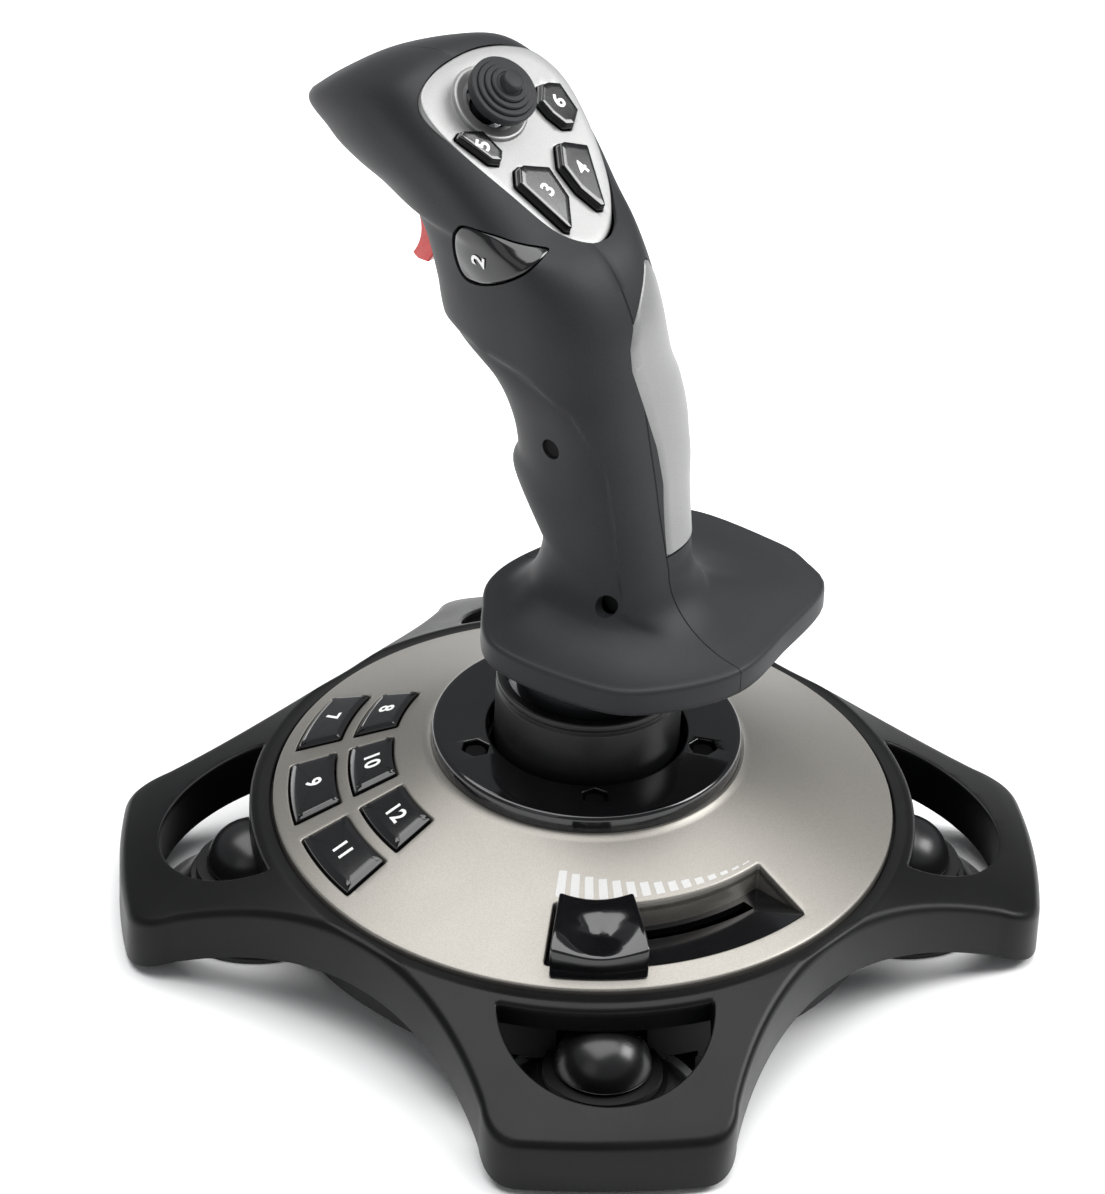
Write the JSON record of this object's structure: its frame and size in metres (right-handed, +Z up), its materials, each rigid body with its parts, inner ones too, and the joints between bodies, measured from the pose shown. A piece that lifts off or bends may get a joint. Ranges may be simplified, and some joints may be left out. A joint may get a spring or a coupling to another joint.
{
  "type": "flight joystick",
  "caption": "Desktop flight stick with a tilting and twisting hand grip, thumb hat, trigger, sliding throttle and a base on suction cups.",
  "frame": {"origin": "middle of the base at desk level, under the stick", "axes": "+Y forward (trigger side), +X to the user's right, +Z up"},
  "size_m": [0.203, 0.203, 0.2339],
  "materials": {
    "chassis_plastic": "fine satin texture",
    "lower_plastic": "plain moulded",
    "silver_cover": "warm silver metallic paint, satin",
    "gloss_black": "polished",
    "cup_rubber": "smooth glossy rubber",
    "boot_rubber": "satin rubber",
    "steel": "plain zinc-plated",
    "black_steel": "black zinc-plated",
    "cast_zinc": "cast",
    "board": "printed circuit board",
    "grip_soft": "soft-touch matt",
    "plate_silver": "silver metallic paint",
    "trigger_red": "gloss"
  },
  "bodies": {
    "base": {"chassis": "chassis_plastic", "bottom_plate": "lower_plastic", "top_cover": "silver_cover", "collar_ring": "gloss_black", "collar_screws": "black_steel", "bottom_screws": "steel", "suction_cup_rear_left": "cup_rubber", "suction_cup_rear_right": "cup_rubber", "suction_cup_front_left": "cup_rubber", "suction_cup_front_right": "cup_rubber", "base_board": "board", "cable_inlet": "lower_plastic", "button_mat": "boot_rubber", "throttle_tray": "gloss_black", "gimbal_frame": "lower_plastic", "centring_spring": "steel", "tilt_sensor": "board"},
    "yoke": {"gimbal_yoke": "cast_zinc", "pitch_pins": "steel", "roll_pins": "steel"},
    "stick": {"stick_shaft": "cast_zinc", "sensor_magnet": "steel", "boot": "boot_rubber", "retaining_clip": "steel"},
    "throttle": {"throttle_knob": "gloss_black", "throttle_lever": "cast_zinc"},
    "hat_ring": {"hat_pivot": "steel"},
    "hat": {"hat_cap": "grip_soft"},
    "trigger": {"trigger": "trigger_red"},
    "grip": {"grip_core": "lower_plastic", "twist_spring": "steel", "twist_sensor": "lower_plastic", "grip_spacers": "lower_plastic", "grip_screws": "black_steel", "grip_left": "grip_soft", "grip_right": "grip_soft", "palm_insert": "plate_silver", "thumb_plate": "plate_silver", "thumb_board": "board", "hat_housing": "lower_plastic", "trigger_frame": "lower_plastic", "trigger_pin": "steel", "trigger_spring": "steel", "trigger_switch": "lower_plastic"},
    "button_2": {"button_2": "gloss_black"},
    "button_3": {"button_3": "gloss_black"},
    "button_4": {"button_4": "gloss_black"},
    "button_5": {"button_5": "gloss_black"},
    "button_6": {"button_6": "gloss_black"},
    "button_7": {"button_7": "gloss_black"},
    "button_8": {"button_8": "gloss_black"},
    "button_9": {"button_9": "gloss_black"},
    "button_10": {"button_10": "gloss_black"},
    "button_11": {"button_11": "gloss_black"},
    "button_12": {"button_12": "gloss_black"}
  },
  "joints": [
    {"name": "pitch", "type": "hinge", "parent": "base", "child": "yoke", "pos_m": [0, 0, 0.057], "axis": [1, 0, 0], "range_deg": [-14, 14], "stiffness_Nm_per_rad": 2.5},
    {"name": "roll", "type": "hinge", "parent": "yoke", "child": "stick", "pos_m": [0, 0, 0.057], "axis": [0, 1, 0], "range_deg": [-14, 14], "stiffness_Nm_per_rad": 2.5, "deforming": ["centring_spring"]},
    {"name": "twist", "type": "hinge", "parent": "stick", "child": "grip", "pos_m": [0, 0, 0.1], "axis": [0, 0, 1], "range_deg": [-18, 18], "stiffness_Nm_per_rad": 0.6, "deforming": ["twist_spring"]},
    {"name": "throttle_slide", "type": "hinge", "parent": "base", "child": "throttle", "pos_m": [0, 0, 0.0315], "axis": [0, 0, 1], "range_deg": [0, 35]},
    {"name": "hat_tilt_up_down", "type": "hinge", "parent": "grip", "child": "hat_ring", "pos_m": [0.001, 0.04456, 0.21899], "axis": [1, 0, 0], "range_deg": [-8, 8], "stiffness_Nm_per_rad": 0.02},
    {"name": "hat_tilt_left_right", "type": "hinge", "parent": "hat_ring", "child": "hat", "pos_m": [0.001, 0.04456, 0.21899], "axis": [0, 0.7934, 0.6088], "range_deg": [-8, 8], "stiffness_Nm_per_rad": 0.02},
    {"name": "trigger_pull", "type": "hinge", "parent": "grip", "child": "trigger", "pos_m": [0, 0.0445, 0.187], "axis": [-1, 0, 0], "range_deg": [0, 8], "stiffness_Nm_per_rad": 0.05, "deforming": ["trigger_spring"]},
    {"name": "press_2", "type": "slide", "parent": "grip", "child": "button_2", "axis": [1, 0, 0], "range_m": [0, 0.001], "stiffness_N_per_m": 400},
    {"name": "press_3", "type": "slide", "parent": "grip", "child": "button_3", "axis": [0, 0.6088, -0.7934], "range_m": [0, 0.001], "stiffness_N_per_m": 400},
    {"name": "press_4", "type": "slide", "parent": "grip", "child": "button_4", "axis": [0, 0.6088, -0.7934], "range_m": [0, 0.001], "stiffness_N_per_m": 400},
    {"name": "press_5", "type": "slide", "parent": "grip", "child": "button_5", "axis": [0, 0.6088, -0.7934], "range_m": [0, 0.001], "stiffness_N_per_m": 400},
    {"name": "press_6", "type": "slide", "parent": "grip", "child": "button_6", "axis": [0, 0.6088, -0.7934], "range_m": [0, 0.001], "stiffness_N_per_m": 400},
    {"name": "press_7", "type": "slide", "parent": "base", "child": "button_7", "axis": [0, 0, -1], "range_m": [0, 0.001], "stiffness_N_per_m": 400},
    {"name": "press_8", "type": "slide", "parent": "base", "child": "button_8", "axis": [0, 0, -1], "range_m": [0, 0.001], "stiffness_N_per_m": 400},
    {"name": "press_9", "type": "slide", "parent": "base", "child": "button_9", "axis": [0, 0, -1], "range_m": [0, 0.001], "stiffness_N_per_m": 400},
    {"name": "press_10", "type": "slide", "parent": "base", "child": "button_10", "axis": [0, 0, -1], "range_m": [0, 0.001], "stiffness_N_per_m": 400},
    {"name": "press_11", "type": "slide", "parent": "base", "child": "button_11", "axis": [0, 0, -1], "range_m": [0, 0.001], "stiffness_N_per_m": 400},
    {"name": "press_12", "type": "slide", "parent": "base", "child": "button_12", "axis": [0, 0, -1], "range_m": [0, 0.001], "stiffness_N_per_m": 400}
  ]
}
